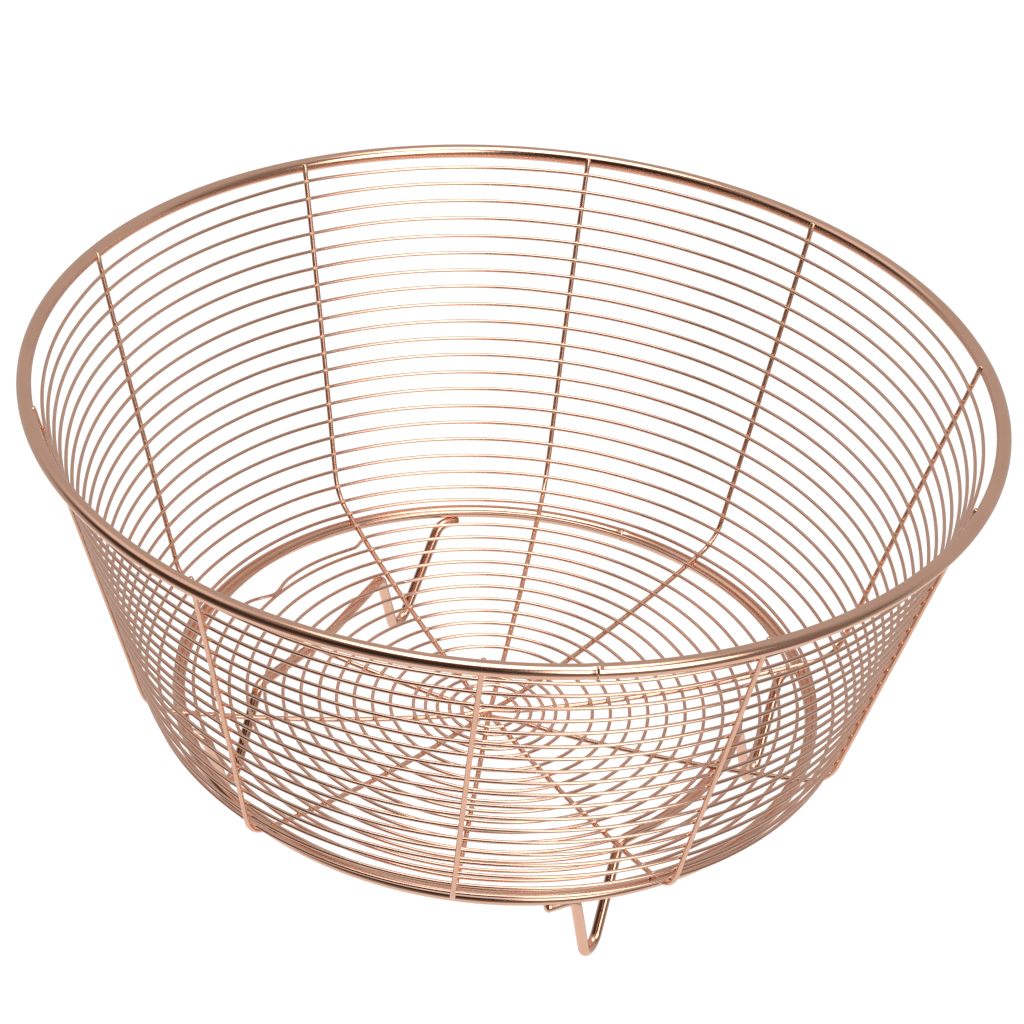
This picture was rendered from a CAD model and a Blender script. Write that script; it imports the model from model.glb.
"""A round copper wire basket on a two-piece wire stand.

The basket stands on z = 0 with its axis near the z axis. The front is -Y, the right is +X.
Ten rib halves run up a leaning wall from a dished bottom; horizontal rings cross them.
Sizes are in millimetres and become metres when a mesh is made. Azimuths are degrees
anticlockwise from +X.
"""
import math
from math import cos, radians, sin, sqrt, tan

import bpy
import numpy as np
from mathutils import Matrix, Vector


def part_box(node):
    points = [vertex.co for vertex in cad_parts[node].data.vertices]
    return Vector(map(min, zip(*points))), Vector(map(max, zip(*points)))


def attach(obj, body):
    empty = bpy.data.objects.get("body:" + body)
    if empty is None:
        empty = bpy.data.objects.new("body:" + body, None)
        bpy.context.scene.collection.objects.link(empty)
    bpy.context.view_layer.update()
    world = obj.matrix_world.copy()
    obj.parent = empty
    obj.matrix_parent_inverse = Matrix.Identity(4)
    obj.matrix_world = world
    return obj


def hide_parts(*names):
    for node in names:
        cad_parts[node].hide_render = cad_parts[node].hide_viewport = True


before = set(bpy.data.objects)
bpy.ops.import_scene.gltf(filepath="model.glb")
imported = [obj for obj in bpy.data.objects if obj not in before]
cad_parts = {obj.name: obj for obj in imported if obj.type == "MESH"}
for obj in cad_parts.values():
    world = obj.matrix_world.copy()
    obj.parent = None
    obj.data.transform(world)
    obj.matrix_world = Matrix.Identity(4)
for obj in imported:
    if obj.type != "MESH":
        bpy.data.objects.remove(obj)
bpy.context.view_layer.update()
scene = bpy.context.scene
MM = 0.001

# ---------------------------------------------------------------- sizes
RIM_R, RIM_D, RIM_H = 138.0, 4.2, 140.7      # R centreline radius, D wire diameter, H height
RIM_TILT, RIM_SIDE = radians(1.03), radians(0.17)   # rim tilt about X and about Y
BASE_R, BASE_D, BASE_H = 94.5, 3.9, 32.0
RIM_WELD_AZ, BASE_WELD_AZ = -78.9, 67.5
RIB_D, RING_D, STAND_D = 1.5, 1.05, 3.2

WALL_LEAN = radians(16.72)    # wall from vertical
BEND_R = 12.0                 # rib bend between wall and bottom
DISH_SAG = 10.3
HUB_R = 12.0                  # radius at which the rib leaves the dish curve
HUB_KNEE_R = 8.2              # last rib corner before the crossing
HUB_EASE = 2.0                # arc length taken each side of the hub corners
RIB_CROSS = 0.7               # height step from one rib to the next at the crossing
RIB_STUB = 1.1                # rib end above the rim centreline
BITE, RIM_BITE = 0.18, 0.9    # how deep welded wires sink into each other
RIM_SHIFT = np.array([-1.8, 1.9, 0.0])    # sideways shift of the wall at rim height
HUB_SHIFT = np.array([-1.5, -0.8, 0.0])   # sideways shift of the rib crossing

WALL_RINGS, BOTTOM_RINGS = 21, 17
DENTED = 2                    # number of the bottom ring with a dent

# azimuth of each half at the bottom, then how far each half has turned at the rim
RIBS = [
    (160.5, -20.5, -2.5, -0.5),
    (122.0, -59.5, -0.5, 0.5),
    (84.5, -94.0, -1.5, 3.2),
    (51.5, -128.5, -1.0, 3.3),
    (14.0, -164.0, -2.5, -0.5),
]
# (radius, azimuth) of: wire end on the base ring, top of leg, ground corner, point under the dish
FEET = {
    "front": [(94.5, -78.1), (91.8, -72.9), (84.6, -67.2), (71.9, -57.4)],
    "right": [(97.1, 17.3), (89.5, 16.5), (80.1, 6.7), (73.2, -3.3)],
    "back": [(94.3, 100.8), (91.8, 104.3), (79.2, 115.1), (70.3, 123.6)],
    "left": [(94.7, -163.1), (88.7, -160.7), (78.9, -169.4), (71.0, -179.1)],
}
# bend radii of a stand wire: leg top, ground corner, under the dish, middle of the wire
LEG_TOP_R, FOOT_R, ARCH_R, STAND_MID_R = 4.5, 5.0, 4.0, 90.0
# node, its two feet, how far the middle bows outward
STANDS = [("stand_wire_front", "front", "right", 8.5), ("stand_wire_rear", "back", "left", -2.0)]

# rounded wire end: (share outward, share of the wire radius), from the wire to the tip
CAP = np.array([(0.32, 0.93), (0.52, 0.74), (0.60, 0.42)])
CAP_DEPTH = 0.55              # cap length in wire radii


# ---------------------------------------------------------------- curves
def unit(v):
    return v / np.linalg.norm(v)


def polar(r, az, z):
    return np.array([r * cos(radians(az)), r * sin(radians(az)), z])


def run_length(path):
    """Distance along the path at each point."""
    return np.r_[0, np.cumsum(np.linalg.norm(np.diff(path, axis=0), axis=1))]


def end_distance(path):
    """Distance of each point to the nearer end."""
    run = run_length(path)
    return np.minimum(run, run[-1] - run)


def bump(az, centre, width):
    apart = (az - centre + 180) % 360 - 180
    return np.exp(-(apart / width) ** 2)


def bumps(az, centres, width):
    return np.max([bump(az, centre, width) for centre in centres], axis=0)


def smooth_ramp(x, start, end):
    share = np.clip((x - start) / (end - start), 0, 1)
    return share ** 2 * (3 - 2 * share)


def wave(az, seed, size, lobes):
    """Small slow wander of a hand-sprung ring, with lobe counts from the range given."""
    rng = np.random.default_rng(seed)
    total = np.zeros(len(az))
    for k in range(*lobes):
        total += rng.normal() / k ** 0.5 * np.cos(np.radians(k * az) + rng.uniform(0, 6.28))
    return size * total / 1.6


def fillet(points, radii, step):
    """Polyline with an arc at each inner corner, cut to steps of about the given length.

    A negative radius gives instead the length the arc takes on each side of its corner.
    """
    points = [np.asarray(p, float) for p in points]
    bent = [points[0]]
    for before, point, after, radius in zip(points, points[1:], points[2:], radii[1:]):
        arrive = unit(point - before)
        leave = unit(after - point)
        turn = math.acos(max(-1, min(1, float(arrive @ leave))))
        if turn < 1e-4:
            bent.append(point)
            continue
        if radius < 0:
            radius = -radius / tan(turn / 2)
        start = point - arrive * (radius * tan(turn / 2))
        centre = point + unit(leave - arrive) * radius / cos(turn / 2)
        spoke = (start - centre) / radius
        count = max(10, int(radius * turn / step))
        for q in range(count + 1):
            angle = turn * q / count
            bent.append(centre + radius * (spoke * cos(angle) + arrive * sin(angle)))
    bent.append(points[-1])
    even = [bent[0]]
    for a, b in zip(bent[:-1], bent[1:]):
        length = np.linalg.norm(b - a)
        if length < 1e-9:
            continue
        count = max(1, int(length / step))
        for q in range(1, count + 1):
            even.append(a + (b - a) * q / count)
    return np.array(even)


# ---------------------------------------------------------------- swept wire
def open_frames(path):
    """Tangent and two cross directions along an open path, carried on without twist."""
    tangent = np.gradient(path, axis=0)
    tangent /= np.linalg.norm(tangent, axis=1)[:, None]
    side = np.zeros_like(tangent)
    guide = np.array([0, 0, 1.0]) if abs(tangent[0][2]) < 0.9 else np.array([1.0, 0, 0])
    for i, along in enumerate(tangent):
        side[i] = unit(guide - along * (guide @ along))
        guide = side[i]
    return tangent, side, np.cross(tangent, side)


def ring_frames(path):
    """Two cross directions along a closed, nearly level path."""
    tangent = np.roll(path, -1, 0) - np.roll(path, 1, 0)
    tangent /= np.linalg.norm(tangent, axis=1)[:, None]
    side = np.cross(tangent, [0, 0, 1.0])
    side /= np.linalg.norm(side, axis=1)[:, None]
    return side, np.cross(tangent, side)


def repeat_ends(rows, count):
    return np.concatenate([[rows[0]] * count, rows, [rows[-1]] * count])


def mesh_object(name, verts, faces, uvs, weld):
    mesh = bpy.data.meshes.new(name)
    mesh.from_pydata((verts * MM).tolist(), [], faces)
    mesh.update()
    layer = mesh.uv_layers.new(name="UVMap")
    layer.data.foreach_set("uv", np.asarray(uvs, np.float32).ravel())
    attribute = mesh.attributes.new("weld", "FLOAT", "POINT")
    attribute.data.foreach_set("value", np.asarray(weld, np.float32))
    mesh.polygons.foreach_set("use_smooth", [True] * len(mesh.polygons))
    ob = bpy.data.objects.new(name, mesh)
    scene.collection.objects.link(ob)
    return ob


def tube(name, path, radius, weld, sides, closed=False):
    """Round wire along a path; UV is (millimetres along, turns round), weld marks the joints."""
    if closed:
        side, up = ring_frames(path)
        run = run_length(np.vstack([path, path[:1]]))
    else:
        tangent, side, up = open_frames(path)
        count = len(CAP)
        path, side, up, radius, weld = (
            repeat_ends(rows, count) for rows in (path, side, up, radius, weld))
        outward = CAP[:, :1] * CAP_DEPTH / CAP[-1, 0]
        path[:count] -= outward[::-1] * radius[0] * tangent[0]
        path[-count:] += outward * radius[-1] * tangent[-1]
        radius[:count] *= CAP[::-1, 1]
        radius[-count:] *= CAP[:, 1]
        run = run_length(path)
    n = len(path)
    angle = np.linspace(0, 2 * np.pi, sides, endpoint=False)[None, :, None]
    spokes = side[:, None] * np.cos(angle) + up[:, None] * np.sin(angle)
    verts = (path[:, None] + spokes * radius[:, None, None]).reshape(-1, 3)
    vert_weld = np.repeat(weld, sides)

    spans = n if closed else n - 1
    i = np.repeat(np.arange(spans), sides)
    j = np.tile(np.arange(sides), spans)
    here, ahead = i * sides, (i + 1) % n * sides
    j_next = (j + 1) % sides
    faces = np.stack([here + j_next, ahead + j_next, ahead + j, here + j], -1).tolist()
    low, high = j / sides, (j + 1) / sides
    corners = [(run[i], high), (run[i + 1], high), (run[i + 1], low), (run[i], low)]
    uvs = np.stack([np.stack(c, -1) for c in corners], 1).reshape(-1, 2).tolist()
    if not closed:
        first, last = len(verts), len(verts) + 1
        verts = np.vstack([verts, path[:1], path[-1:]])
        vert_weld = np.r_[vert_weld, weld[0], weld[-1]]
        end = (n - 1) * sides
        for k in range(sides):
            k_next = (k + 1) % sides
            faces += [[first, k_next, k], [end + k, end + k_next, last]]
            uvs += [[0, 0.5]] * 3 + [[run[-1], 0.5]] * 3
    return mesh_object(name, verts, faces, uvs, vert_weld)


# ---------------------------------------------------------------- rib profile
# Points are (radius, height): a straight wall, a bend, then an arc that is the dished bottom.
rib_top_r = RIM_R - (RIM_D / 2 + RIB_D / 2 - RIM_BITE) / cos(WALL_LEAN)
dish_edge_z = BASE_H + BASE_D / 2 + RIB_D / 2 - BITE
DISH_R = (BASE_R ** 2 + DISH_SAG ** 2) / (2 * DISH_SAG)
hub_z = dish_edge_z - DISH_SAG
dish_centre = np.array([0, hub_z + DISH_R])


def dish_z(r):
    return dish_centre[1] - sqrt(DISH_R * DISH_R - r * r)


def rib_corners():
    """Corner of wall and dish-edge tangent, and corner of the dish-edge and hub tangents."""
    inward = np.array([-cos(WALL_LEAN), sin(WALL_LEAN)])
    down = np.array([-sin(WALL_LEAN), -cos(WALL_LEAN)])
    wall_top = np.array([rib_top_r, RIM_H])
    # wall length that makes the bend touch both the wall and the dish arc
    start = wall_top + BEND_R * inward - dish_centre
    half = -float(start @ down)
    wall_length = half + sqrt(half * half - (float(start @ start) - (DISH_R - BEND_R) ** 2))
    wall_end = wall_top + wall_length * down
    bend_centre = wall_top + BEND_R * inward + wall_length * down
    edge_angle = math.atan2(bend_centre[0], dish_centre[1] - bend_centre[1])
    edge = dish_centre + DISH_R * np.array([sin(edge_angle), -cos(edge_angle)])
    slope = tan(edge_angle)
    past_end = ((wall_end[1] - edge[1] - (wall_end[0] - edge[0]) * slope)
                / (cos(WALL_LEAN) - sin(WALL_LEAN) * slope))
    middle_r = ((dish_z(HUB_R) - edge[1] + edge[0] * slope - HUB_R * tan(hub_angle))
                / (slope - tan(hub_angle)))
    middle_z = edge[1] + (middle_r - edge[0]) * slope
    return wall_end + past_end * down, (middle_r, middle_z)


hub_angle = math.asin(HUB_R / DISH_R)
knee_z = dish_z(HUB_R) - (HUB_R - HUB_KNEE_R) * tan(hub_angle)
(corner_r, corner_z), (middle_r, middle_z) = rib_corners()


def wall_shift(z):
    return max(0.0, (z - corner_z) / (RIM_H - corner_z)) * RIM_SHIFT


def hub_shift(r):
    return (1 - r / BASE_R) * HUB_SHIFT


def rib_end(az):
    rim_rise = RIM_R * (tan(RIM_SIDE) * cos(radians(az)) - tan(RIM_TILT) * sin(radians(az)))
    z = RIM_H + rim_rise + RIB_STUB
    return wall_shift(z) + polar(rib_top_r + (z - RIM_H) * tan(WALL_LEAN), az, z)


def half_rib(az, turn):
    return [rib_end(az + turn),
            polar(corner_r, az, corner_z),
            hub_shift(middle_r) + polar(middle_r, az, middle_z),
            hub_shift(HUB_KNEE_R) + polar(HUB_KNEE_R, az, knee_z)]


def rib_path(number, az_a, az_b, turn_a, turn_b):
    crossing = hub_shift(0) + np.array([0, 0, hub_z + (number - 3) * RIB_CROSS])
    points = half_rib(az_a, turn_a) + [crossing] + half_rib(az_b, turn_b)[::-1]
    bends = [0, BEND_R, DISH_R * 0.97, -HUB_EASE]
    return fillet(points, bends + [-HUB_EASE] + bends[::-1], step=0.9)


def rib_azimuths(drop):
    """Azimuth of each of the ten rib halves; drop is 0 at the rim, 1 at the bottom edge."""
    return np.array([rib[i] + rib[i + 2] * (1 - drop) for rib in RIBS for i in (0, 1)])


# ---------------------------------------------------------------- stand paths
def on_base_ring(r, az):
    """Point of a stand wire welded under the base ring."""
    return polar(r, az, BASE_H - BASE_D / 2 - STAND_D / 2 + BITE)


def under_dish(p):
    """The same plan position, with the stand wire welded under the ribs."""
    return np.array([p[0], p[1], dish_z(math.hypot(p[0], p[1])) - (RIB_D / 2 + STAND_D / 2 - BITE)])


def foot(end, leg_top, ground, arch):
    leg_top = on_base_ring(*leg_top)
    arch = under_dish(polar(*arch, 0))
    ground = polar(*ground, -4.0)
    # move the corner up or down until the bent wire just rests on z = 0
    for _ in range(12):
        arrive = unit(ground - leg_top)
        leave = unit(arch - ground)
        turn = math.acos(float(arrive @ leave))
        axis = unit(np.cross(arrive, leave))
        centre = ground + unit(leave - arrive) * FOOT_R / cos(turn / 2)
        ground[2] += STAND_D / 2 - (centre[2] - FOOT_R * sqrt(1 - axis[2] ** 2))
    return [on_base_ring(*end), leg_top, ground, arch]


def stand_path(foot_a, foot_b, bow):
    a, b = foot(*FEET[foot_a]), foot(*FEET[foot_b])
    middle = (a[3] + b[3]) / 2
    middle = under_dish(middle * (1 + bow / math.hypot(middle[0], middle[1])))
    bends = [0, LEG_TOP_R, FOOT_R, ARCH_R]
    return fillet(a + [middle] + b[::-1], bends + [STAND_MID_R] + bends[::-1], step=0.6)


# ---------------------------------------------------------------- materials
def add(tree, kind, inputs=None, **settings):
    """New shader node; each input is given a value, or a socket to link from."""
    made = tree.nodes.new(kind)
    for key, value in settings.items():
        setattr(made, key, value)
    for key, value in (inputs or {}).items():
        if isinstance(value, bpy.types.NodeSocket):
            tree.links.new(value, made.inputs[key])
        else:
            made.inputs[key].default_value = value
    return made


def empty_tree(owner):
    owner.use_nodes = True
    owner.node_tree.nodes.clear()
    return owner.node_tree


def copper(name, roughness, base=(0.86, 0.52, 0.38)):
    material = bpy.data.materials.new(name)
    tree = empty_tree(material)
    coords = add(tree, "ShaderNodeTexCoord").outputs
    # slow colour drift of the plating
    drift = add(tree, "ShaderNodeTexNoise",
                {"Scale": 45.0, "Detail": 3.0, "Vector": coords["Object"]})
    ramp = add(tree, "ShaderNodeValToRGB", {"Fac": drift.outputs["Fac"]})
    stops = [(0.3, (0.97, 0.95, 0.93)), (0.72, (1.03, 1.04, 1.06))]   # position, share of base
    for element, (position, shares) in zip(ramp.color_ramp.elements, stops):
        element.position = position
        element.color = (*(b * share for b, share in zip(base, shares)), 1)
    # paler at the welds
    weld = add(tree, "ShaderNodeAttribute", attribute_name="weld").outputs["Fac"]
    colour = add(tree, "ShaderNodeMix",
                 {"Factor": weld, "A": ramp.outputs["Color"], "B": (0.93, 0.66, 0.50, 1)},
                 data_type="RGBA")
    # drawn streaks: stretched along the wire, fine around it
    stretch = add(tree, "ShaderNodeMapping", {"Scale": (0.12, 60.0, 1.0), "Vector": coords["UV"]})
    streaks = add(tree, "ShaderNodeTexNoise",
                  {"Scale": 1.0, "Detail": 4.0, "Roughness": 0.6,
                   "Vector": stretch.outputs["Vector"]}).outputs["Fac"]
    streak_rough = add(tree, "ShaderNodeMapRange",
                       {"To Min": roughness * 0.7, "To Max": roughness * 1.35, "Value": streaks})
    # welds are rougher by up to 0.12
    rough = add(tree, "ShaderNodeMath", {0: weld, 1: 0.12, 2: streak_rough.outputs["Result"]},
                operation="MULTIPLY_ADD")
    relief = add(tree, "ShaderNodeBump", {"Strength": 0.05, "Distance": 0.00005, "Height": streaks})
    metal = add(tree, "ShaderNodeBsdfPrincipled",
                {"Metallic": 1.0, "Base Color": colour.outputs["Result"],
                 "Roughness": rough.outputs["Value"], "Normal": relief.outputs["Normal"]})
    add(tree, "ShaderNodeOutputMaterial", {"Surface": metal.outputs["BSDF"]})
    return material


MATERIALS = {
    "copper_rod": copper("copper_rod", roughness=0.16),
    "copper_rib_wire": copper("copper_rib_wire", roughness=0.26),
    "copper_ring_wire": copper("copper_ring_wire", roughness=0.15, base=(0.86, 0.55, 0.425)),
    "copper_stand_wire": copper("copper_stand_wire", roughness=0.18),
}


def material_name(node_name):
    if node_name in ("top_rim", "base_ring"):
        return "copper_rod"
    if "ring_" in node_name:
        return "copper_ring_wire"
    return "copper_rib_wire" if node_name.startswith("rib") else "copper_stand_wire"


def put(ob, node_name):
    """Give a finished piece its material and let it stand in for its CAD node."""
    material = material_name(node_name)
    ob.data.materials.append(MATERIALS[material])
    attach(ob, "root")
    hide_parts(node_name)


# ---------------------------------------------------------------- thin rings
def node_box(node_name):
    lo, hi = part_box(node_name)
    return np.array(lo) * 1000, np.array(hi) * 1000


def put_ring(node_name, centre, r, az, rise, weld):
    """Ring wire, thickened at its welds; r and rise may vary with azimuth."""
    t = np.radians(az)
    path = np.stack([centre[0] + r * np.cos(t), centre[1] + r * np.sin(t), centre[2] + rise], -1)
    radius = RING_D / 2 * (1 + 0.15 * weld)
    put(tube(node_name + ".wire", path, radius, weld, sides=12, closed=True), node_name)


def rib_welds(az, ribs, r):
    return bumps(az, ribs, math.degrees(0.8 / r))


def thin_ring(kind, number):
    """Ring sized and placed by its CAD node, held at the ribs and wandering between them."""
    node_name = "%s_ring_%02d" % (kind, number)
    lo, hi = node_box(node_name)
    r = (hi[0] - lo[0]) / 2 - RING_D / 2
    centre = (lo + hi) / 2
    wall = kind == "wall"
    drop = min(1.0, max(0.0, (RIM_H - centre[2]) / (RIM_H - corner_z))) if wall else 1.0
    ribs = rib_azimuths(drop)
    # extra stations close to each weld
    base = np.linspace(0, 360, 300 if r > 40 else 140, endpoint=False)
    span = math.degrees(2.2 / r)
    extra = np.concatenate([rib + np.linspace(-span, span, 11) for rib in ribs])
    az = np.unique(np.round(np.r_[base, extra % 360], 3))
    weld = rib_welds(az, ribs, r)
    free = 1 - bumps(az, ribs, 6.0)
    seed = number if wall else 1000 + number
    wander = wave(az, seed, 0.10, lobes=(2, 7)) * free
    rise = wave(az, seed + 500, 0.16 if wall else 0.08, lobes=(3, 9)) * free
    if wall and number == 1:
        # the ring under the rim was sprung in last and wanders most
        rise += free * (0.45 * np.cos(np.radians(az + 60)) - 0.7 * bump(az, -76, 12)
                        - 0.7 * bump(az, -110, 10) - 0.5 * bump(az, -42, 12))
    put_ring(node_name, centre, r + wander + 0.03 * weld, az, rise, weld)


def dented_ring():
    """A true circle with one length bent inward, at the back left."""
    node_name = "bottom_ring_%02d" % DENTED
    lo, hi = node_box(node_name)
    r = hi[0] - RING_D / 2
    az = np.linspace(0, 360, 480, endpoint=False)
    dent = (-3.6 * smooth_ramp(az, 121.5, 126.6) * (1 - smooth_ramp(az, 151.5, 159.5))
            + 0.5 * bump(az, 138, 7) - 1.6 * bump(az, 151.2, 3.6))
    weld = rib_welds(az, rib_azimuths(1.0), r)
    put_ring(node_name, (0, 0, (lo[2] + hi[2]) / 2), r + dent, az, np.zeros(len(az)), weld)


for number in range(1, WALL_RINGS + 1):
    thin_ring("wall", number)
for number in range(1, BOTTOM_RINGS + 1):
    if number != DENTED:
        thin_ring("bottom", number)
dented_ring()


# ---------------------------------------------------------------- ribs
def rib(number, row):
    node_name = "rib_wire_%d" % number
    path = rib_path(number, *row)
    from_end = end_distance(path)
    weld = np.exp(-((from_end - RIB_STUB - 0.5) / 1.3) ** 2)
    # slight sideways bow over the last 95 mm at each end
    side = unit(np.cross(path[-1] - path[0], [0, 0, 1.0]))
    bow = np.sin(np.clip(from_end / 95, 0, 1) * np.pi) * (0.25 if number % 2 else -0.2)
    radius = RIB_D / 2 * (1 + 0.22 * weld)
    put(tube(node_name + ".wire", path + side * bow[:, None], radius, weld, sides=14), node_name)


for number, row in enumerate(RIBS, 1):
    rib(number, row)


# ---------------------------------------------------------------- rim and base ring
def rod_ring(node_name, ring_r, rod_d, weld_az, centre, turn, seed, sides):
    """Thick rod closed by one butt weld: a swollen bead with a narrow groove in it."""
    span = math.degrees(4 / ring_r)
    near_weld = (weld_az + np.linspace(-span, span, 81)) % 360
    az = np.unique(np.round(np.r_[np.linspace(0, 360, 540, endpoint=False), near_weld], 4))
    from_weld = ((az - weld_az + 180) % 360 - 180) * radians(1) * ring_r
    seam = np.exp(-(from_weld / 0.16) ** 2)
    bead = np.exp(-(from_weld / 1.1) ** 2)
    t = np.radians(az)
    r = ring_r + wave(az, seed, 0.05, lobes=(2, 5))
    # the two rod ends meet slightly out of line
    z = wave(az, seed + 1, 0.05, lobes=(2, 5)) + np.where(from_weld > 0, 0.10, -0.02) * bead
    path = centre + np.stack([r * np.cos(t), r * np.sin(t), z], -1) @ turn.T
    radius = rod_d / 2 + 0.14 * bead - 0.34 * seam
    weld = np.maximum(seam * 0.6, bead * 0.35)
    put(tube(node_name + ".rod", path, radius, weld, sides, closed=True), node_name)


rim_centre = wall_shift(RIM_H) + np.array([RIM_R * tan(RIM_SIDE) * tan(WALL_LEAN),
                                           -RIM_R * tan(RIM_TILT) * tan(WALL_LEAN), RIM_H])
rim_turn = (np.array(Matrix.Rotation(-RIM_SIDE, 3, "Y"))
            @ np.array(Matrix.Rotation(-RIM_TILT, 3, "X")))
rod_ring("top_rim", RIM_R, RIM_D, RIM_WELD_AZ, rim_centre, rim_turn, seed=11, sides=28)
rod_ring("base_ring", BASE_R, BASE_D, BASE_WELD_AZ, np.array([0, 0, BASE_H]), np.eye(3),
         seed=21, sides=24)

# ---------------------------------------------------------------- stand
for node_name, foot_a, foot_b, bow in STANDS:
    path = stand_path(foot_a, foot_b, bow)
    weld = np.exp(-((end_distance(path) - 3.5) / 2.5) ** 2)
    radius = STAND_D / 2 * (1 + 0.04 * weld)
    put(tube(node_name + ".wire", path, radius, weld, sides=20), node_name)

for node_name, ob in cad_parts.items():
    ob.data.materials.clear()
    ob.data.materials.append(MATERIALS[material_name(node_name)])

# ---------------------------------------------------------------- world light
AMBIENT = (0.22, 0.51)                 # radiance toward the front, toward the back
# azimuth, elevation, inner and outer angle of the soft edge, radiance, sideways stretch
LOBES = [
    (0, -90, 48, 62, 0.88, 1.0),       # pale floor
    (168, 46, 10, 24, 0.85, 1.2),      # pale wall, left
    (-158, 8, 16, 34, 0.06, 1.6),      # dark flag, left
    (-5, 2, 5, 14, 0.18, 1.0),         # dark flag, right
    (-98, 20, 24, 36, 0.035, 1.25),    # dark camera side
    (-90, 81, 19, 26, 3.3, 1.0),       # large soft box overhead
    (-57, 25, 20, 28, 3.3, 0.8),       # tall soft box, front right
]


def add_lobe(tree, direction, under, az, el, inner, outer, radiance, stretch):
    """Lay one soft-edged patch of radiance over what is under it."""
    def calc(operation, *values):
        inputs = dict(enumerate(values))
        return add(tree, "ShaderNodeMath", inputs, operation=operation).outputs["Value"]

    def along(axis):
        return add(tree, "ShaderNodeVectorMath", {0: direction, 1: axis},
                   operation="DOT_PRODUCT").outputs["Value"]

    az, el = radians(az), radians(el)
    centre = Vector((cos(el) * cos(az), cos(el) * sin(az), sin(el)))
    side = Vector((-sin(az), cos(az), 0))
    ahead, sideways, upward = along(centre), along(side), along(centre.cross(side))
    across = calc("DIVIDE", calc("ARCTAN2", sideways, ahead), radians(stretch))
    height = calc("ARCSINE", upward)
    across_squared = calc("MULTIPLY", calc("MULTIPLY", across, radians(1)),
                          calc("MULTIPLY", across, radians(1)))
    angle = calc("SQRT", calc("ADD", across_squared, calc("MULTIPLY", height, height)))
    mask = add(tree, "ShaderNodeMapRange",
               {"From Min": radians(outer), "From Max": radians(inner),
                "To Min": 0.0, "To Max": 1.0, "Value": angle}, interpolation_type="SMOOTHSTEP")
    return add(tree, "ShaderNodeMix",
               {"Factor": mask.outputs["Result"], "A": under, "B": radiance},
               data_type="FLOAT").outputs["Result"]


def build_world():
    """Studio light by direction; the camera itself sees plain white."""
    world = bpy.data.worlds.new("studio")
    scene.world = world
    tree = empty_tree(world)
    direction = add(tree, "ShaderNodeTexCoord").outputs["Generated"]
    split = add(tree, "ShaderNodeSeparateXYZ", {0: direction})
    radiance = add(tree, "ShaderNodeMapRange",
                   {"From Min": -0.35, "From Max": 0.35, "To Min": AMBIENT[0],
                    "To Max": AMBIENT[1], "Value": split.outputs["Y"]},
                   interpolation_type="SMOOTHSTEP").outputs["Result"]
    for lobe in LOBES:
        radiance = add_lobe(tree, direction, radiance, *lobe)
    # dark directions are warmer
    brightness = add(tree, "ShaderNodeMapRange",
                     {"From Min": 0.02, "From Max": 0.30, "Value": radiance})
    tint = add(tree, "ShaderNodeMixRGB",
               {0: brightness.outputs[0], 1: (1, 0.66, 0.50, 1), 2: (1, 0.985, 0.965, 1)})
    studio = add(tree, "ShaderNodeBackground", {"Strength": radiance, "Color": tint.outputs[0]})
    white = add(tree, "ShaderNodeBackground", {"Color": (1, 1, 1, 1), "Strength": 1.0})
    rays = add(tree, "ShaderNodeLightPath")
    mix = add(tree, "ShaderNodeMixShader",
              {"Fac": rays.outputs["Is Camera Ray"], 1: studio.outputs[0], 2: white.outputs[0]})
    add(tree, "ShaderNodeOutputWorld", {"Surface": mix.outputs[0]})


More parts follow.
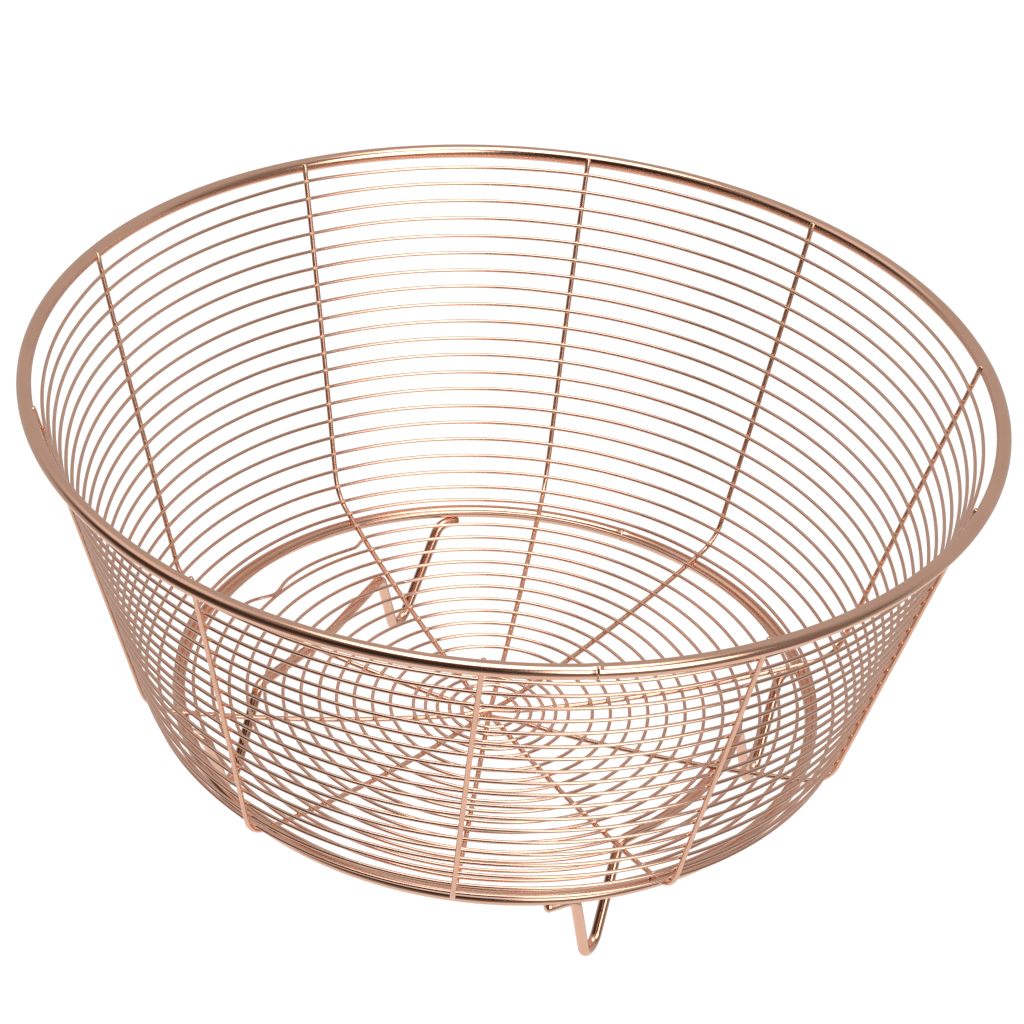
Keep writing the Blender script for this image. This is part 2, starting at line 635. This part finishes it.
# ---------------------------------------------------------------- floor
def floor_white():
    """Glowing white, seen only by the camera and only from above."""
    material = bpy.data.materials.new("floor_white")
    tree = empty_tree(material)
    glow = add(tree, "ShaderNodeEmission", {"Color": (1, 1, 1, 1), "Strength": 0.95})
    diffuse = add(tree, "ShaderNodeBsdfDiffuse", {"Color": (0.16, 0.16, 0.16, 1)})
    surface = add(tree, "ShaderNodeAddShader", {0: glow.outputs[0], 1: diffuse.outputs[0]})
    clear = add(tree, "ShaderNodeBsdfTransparent")
    rays = add(tree, "ShaderNodeLightPath")
    facing = add(tree, "ShaderNodeNewGeometry")
    seen = add(tree, "ShaderNodeMath",
               {0: rays.outputs["Is Camera Ray"], 1: facing.outputs["Backfacing"]},
               operation="SUBTRACT", use_clamp=True)
    mix = add(tree, "ShaderNodeMixShader",
              {"Fac": seen.outputs[0], 1: clear.outputs[0], 2: surface.outputs[0]})
    add(tree, "ShaderNodeOutputMaterial", {"Surface": mix.outputs[0]})
    return material


def build_floor():
    material = floor_white()
    bpy.ops.mesh.primitive_plane_add(size=12, location=(0, 0, -0.0002))
    floor = bpy.context.object
    floor.name = "floor"
    floor.data.materials.append(material)


# ---------------------------------------------------------------- camera
CAM_PITCH, CAM_ROLL = radians(34.49), radians(4.84)    # looking down, turned about the view
CAM_TARGET = np.array([1.2, 0.0, BASE_H])
CAM_BACK, CAM_RIGHT, CAM_UP = 1102.16, 3.55488, 53.71328    # eye from target, in camera axes


def build_camera():
    camera = bpy.data.cameras.new("cam")
    ob = bpy.data.objects.new("cam", camera)
    scene.collection.objects.link(ob)
    level_right = np.array([1, 0, 0.0])
    level_up = np.array([0, sin(CAM_PITCH), cos(CAM_PITCH)])
    back = np.array([0, -cos(CAM_PITCH), sin(CAM_PITCH)])
    right = cos(CAM_ROLL) * level_right + sin(CAM_ROLL) * level_up
    up = -sin(CAM_ROLL) * level_right + cos(CAM_ROLL) * level_up
    eye = (back * CAM_BACK + right * CAM_RIGHT + up * CAM_UP + CAM_TARGET) * MM
    ob.matrix_world = Matrix([*np.column_stack([right, up, back, eye]).tolist(), [0, 0, 0, 1]])
    camera.sensor_width = 36.0
    camera.lens = 129.594586
    camera.clip_start, camera.clip_end = 0.05, 50
    scene.camera = ob


build_world()
build_floor()
build_camera()
scene.view_settings.view_transform = "Standard"
